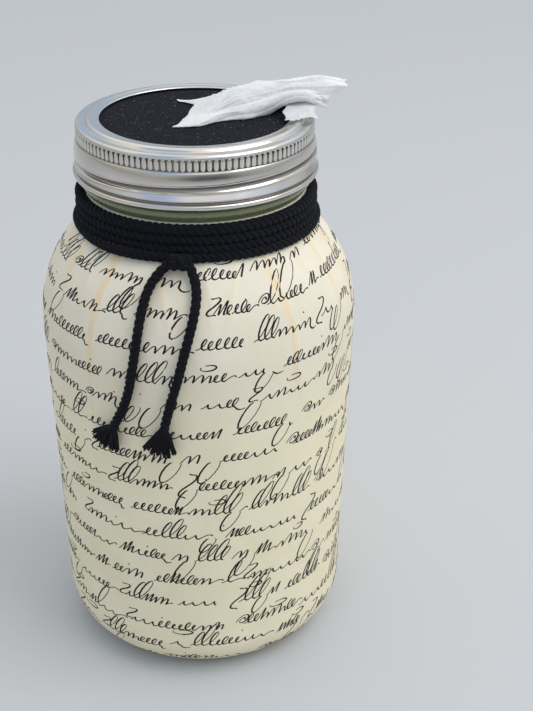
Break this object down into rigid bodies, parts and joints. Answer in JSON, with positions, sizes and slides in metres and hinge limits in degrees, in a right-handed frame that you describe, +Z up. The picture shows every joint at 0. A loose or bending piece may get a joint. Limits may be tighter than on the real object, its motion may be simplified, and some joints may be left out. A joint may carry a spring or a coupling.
{
  "type": "jar tissue dispenser",
  "caption": "Paper-covered glass jar with a metal screw band, slit felt disc, roll of tissues and a cord knotted round its neck.",
  "frame": {"origin": "centre of the jar's base, on the surface it stands on", "axes": "+Z up along the jar's axis; the knot and tails are at the front, -Y; +X is to the right seen from the front"},
  "size_m": [0.0992, 0.1025, 0.1871],
  "materials": {
    "glass": "clear",
    "paper": "matte, glued",
    "band_metal": "bright tinplate",
    "felt": "felt",
    "tissue": "soft tissue",
    "cord": "twisted yarn"
  },
  "bodies": {
    "jar": {"glass_jar": "glass", "paper_wrap": "paper", "neck_cord": "cord", "cord_knot": "cord", "tail_left": "cord", "tail_right": "cord", "tassel_left": "cord", "tassel_right": "cord", "tissue_sheet_1": "tissue", "tissue_sheet_2": "tissue", "tissue_sheet_3": "tissue", "tissue_sheet_4": "tissue", "tissue_sheet_5": "tissue", "tissue_sheet_6": "tissue", "tissue_sheet_7": "tissue", "tissue_sheet_8": "tissue"},
    "insert": {"felt_disc": "felt"},
    "band": {"screw_band": "band_metal"},
    "tissue": {"pulled_tissue": "tissue"}
  },
  "joints": [
    {"name": "lid_rise", "type": "slide", "parent": "jar", "child": "insert", "axis": [0, 0, 1], "range_m": [0, 0.00794]},
    {"name": "band_turn", "type": "hinge", "parent": "insert", "child": "band", "pos_m": [0, 0, 0.17], "axis": [0, 0, 1], "range_deg": [0, 450]},
    {"name": "tissue_pull", "type": "slide", "parent": "insert", "child": "tissue", "axis": [0, 0, 1], "range_m": [0, 0.08]}
  ],
  "couplings": [
    {"joint": "lid_rise", "follows": "band_turn", "m_per_rad": 0.0010106}
  ]
}
